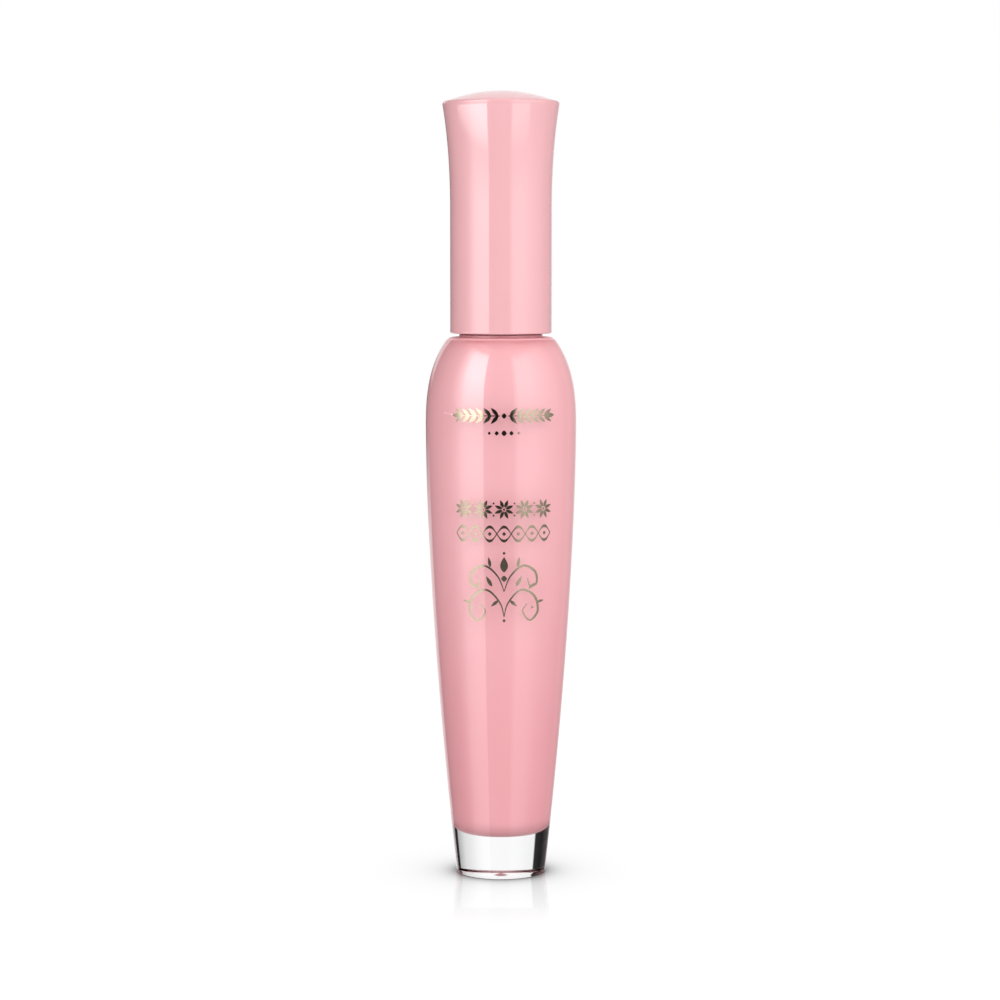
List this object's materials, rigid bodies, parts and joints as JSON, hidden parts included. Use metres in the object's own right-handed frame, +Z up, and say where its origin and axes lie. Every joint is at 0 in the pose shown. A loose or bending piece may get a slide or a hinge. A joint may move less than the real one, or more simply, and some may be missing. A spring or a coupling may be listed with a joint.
{
  "type": "mascara tube",
  "caption": "Slim mascara tube: a pink vial in a thick clear bottle with a flared screw cap that carries a stem and a twisted-wire brush.",
  "frame": {"origin": "centre of the flat face that the tube stands on", "axes": "+Z up along the tube's axis, from the foot to the domed cap; +X to the right and -Y towards the printed front"},
  "size_m": [0.025, 0.025, 0.13],
  "materials": {
    "clear_shell": "polished clear thick-wall plastic",
    "pink_vial": "smooth opaque pink, seen through the clear shell",
    "wiper_plastic": "soft translucent natural polyethylene",
    "mascara": "thick wet black cream",
    "seal_foam": "white closed-cell foam",
    "seal_rubber": "satin black rubber",
    "pink_cap": "glossy pink lacquer on plastic",
    "pink_dome": "glossy pink lacquer on plastic",
    "inner_cap_plastic": "satin moulded plastic",
    "stem_plastic": "smooth black plastic",
    "twisted_wire": "drawn steel wire, twisted",
    "gold_foil": "hot-stamped pale gold foil ornament on the front of the clear shell",
    "bristle_fibre": "black nylon fibres"
  },
  "bodies": {
    "bottle": {"bottle_shell": "clear_shell", "inner_vial": "pink_vial", "wiper": "wiper_plastic", "mascara_paste": "mascara"},
    "washer": {"sealing_washer": "seal_foam"},
    "stem_seal": {"stem_o_ring": "seal_rubber"},
    "cap": {"cap_shell": "pink_cap", "cap_dome": "pink_dome", "inner_cap": "inner_cap_plastic", "stem": "stem_plastic", "brush_wire": "twisted_wire", "brush_bristles": "bristle_fibre"}
  },
  "joints": [
    {"name": "cap_pull", "type": "slide", "parent": "bottle", "child": "washer", "axis": [0, 0, 1], "range_m": [0, 0.1], "deforming": ["brush_bristles"]},
    {"name": "cap_rise", "type": "slide", "parent": "washer", "child": "stem_seal", "axis": [0, 0, 1], "range_m": [0, 0.0045]},
    {"name": "cap_turn", "type": "hinge", "parent": "stem_seal", "child": "cap", "pos_m": [0, 0, 0.09], "axis": [0, 0, 1], "range_deg": [0, 540]}
  ],
  "couplings": [
    {"joint": "cap_rise", "follows": "cap_turn", "m_per_rad": 0.00047746}
  ]
}
